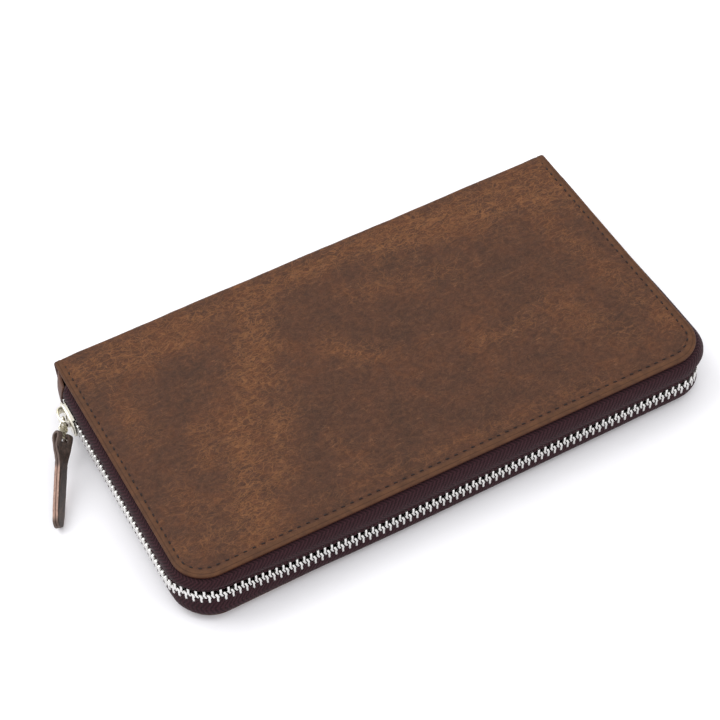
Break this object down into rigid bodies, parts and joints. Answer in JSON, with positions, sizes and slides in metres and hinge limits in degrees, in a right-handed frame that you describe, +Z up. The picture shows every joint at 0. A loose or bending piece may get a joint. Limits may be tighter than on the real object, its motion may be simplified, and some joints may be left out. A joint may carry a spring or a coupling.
{
  "type": "zippered pouch",
  "caption": "Zip-around long leather wallet, closed: two flat halves on a folding spine, metal zip round three sides, inner coin pocket, slider with leather pull.",
  "frame": {"origin": "middle of the underside of the back cover, closed and lying flat", "axes": "+X along the spine, +Y from the zipped front edge to the spine, +Z up through the thickness"},
  "size_m": [0.2227, 0.1135, 0.021],
  "materials": {
    "cover_leather": "distressed pull-up leather, brown, waxy",
    "inner_leather": "smooth thin brown leather",
    "tab_leather": "reddish brown leather, raw edge",
    "strap_leather": "folded pull-up leather, dark grey-brown",
    "lining": "woven polyester lining, dark brown",
    "zip_tape": "woven herringbone tape, dark burgundy brown",
    "board": "thin stiffener sheet",
    "zip_metal": "nickel-plated, polished"
  },
  "bodies": {
    "back_half": {"back_cover_leather": "cover_leather", "back_stiffener_board": "board", "back_lining": "lining", "back_bill_pocket_panel": "inner_leather", "back_card_strip_1": "inner_leather", "back_card_strip_2": "inner_leather", "back_card_strip_3": "inner_leather", "lower_zip_tape": "zip_tape", "lower_zip_teeth": "zip_metal", "lower_top_stop": "zip_metal", "lower_bottom_stop": "zip_metal"},
    "front_half": {"front_cover_leather": "cover_leather", "front_stiffener_board": "board", "front_lining": "lining", "front_bill_pocket_panel": "inner_leather", "front_card_strip_1": "inner_leather", "front_card_strip_2": "inner_leather", "front_card_strip_3": "inner_leather", "upper_zip_tape": "zip_tape", "upper_zip_teeth": "zip_metal", "upper_top_stop": "zip_metal", "upper_bottom_stop": "zip_metal"},
    "spine": {"spine_leather": "cover_leather", "spine_board": "board", "spine_lining": "lining", "end_tab_left": "tab_leather", "end_tab_right": "tab_leather", "coin_pocket_wall_lower": "inner_leather", "coin_pocket_wall_upper": "inner_leather", "coin_pocket_binding": "zip_tape", "coin_zip_tape_lower": "zip_tape", "coin_zip_tape_upper": "zip_tape", "coin_zip_teeth_lower": "zip_metal", "coin_zip_teeth_upper": "zip_metal"},
    "zip_slider": {"zip_slider_body": "zip_metal"},
    "pull_link": {"pull_link": "zip_metal"},
    "pull_strap": {"pull_strap": "strap_leather"},
    "coin_slider": {"coin_slider_body": "zip_metal"},
    "coin_pull": {"coin_pull": "zip_metal"}
  },
  "joints": [
    {"name": "spine_fold", "type": "hinge", "parent": "back_half", "child": "spine", "pos_m": [0, 0.05525, 0], "axis": [-1, 0, 0], "range_deg": [0, 90]},
    {"name": "cover_fold", "type": "hinge", "parent": "spine", "child": "front_half", "pos_m": [0, 0.05525, 0.021], "axis": [-1, 0, 0], "range_deg": [0, 90]},
    {"name": "zip_slide", "type": "slide", "parent": "back_half", "child": "zip_slider", "axis": [0, -1, 0], "range_m": [0, 0.072]},
    {"name": "pull_link_swing", "type": "hinge", "parent": "zip_slider", "child": "pull_link", "pos_m": [-0.10235, 0.0385, 0.0105], "axis": [0, 0, -1], "range_deg": [-10, 120]},
    {"name": "pull_strap_swing", "type": "hinge", "parent": "pull_link", "child": "pull_strap", "pos_m": [-0.10578, 0.03188, 0.00902], "axis": [-0.0894, -0.1724, 0.981], "range_deg": [-60, 15]},
    {"name": "coin_slide", "type": "slide", "parent": "spine", "child": "coin_slider", "axis": [-1, 0, 0], "range_m": [0, 0.144]},
    {"name": "coin_pull_swing", "type": "hinge", "parent": "coin_slider", "child": "coin_pull", "pos_m": [0.072, -0.03765, 0.0105], "axis": [0, 0, 1], "range_deg": [0, 150]}
  ],
  "couplings": [
    {"joint": "cover_fold", "follows": "spine_fold", "ratio": 1}
  ]
}
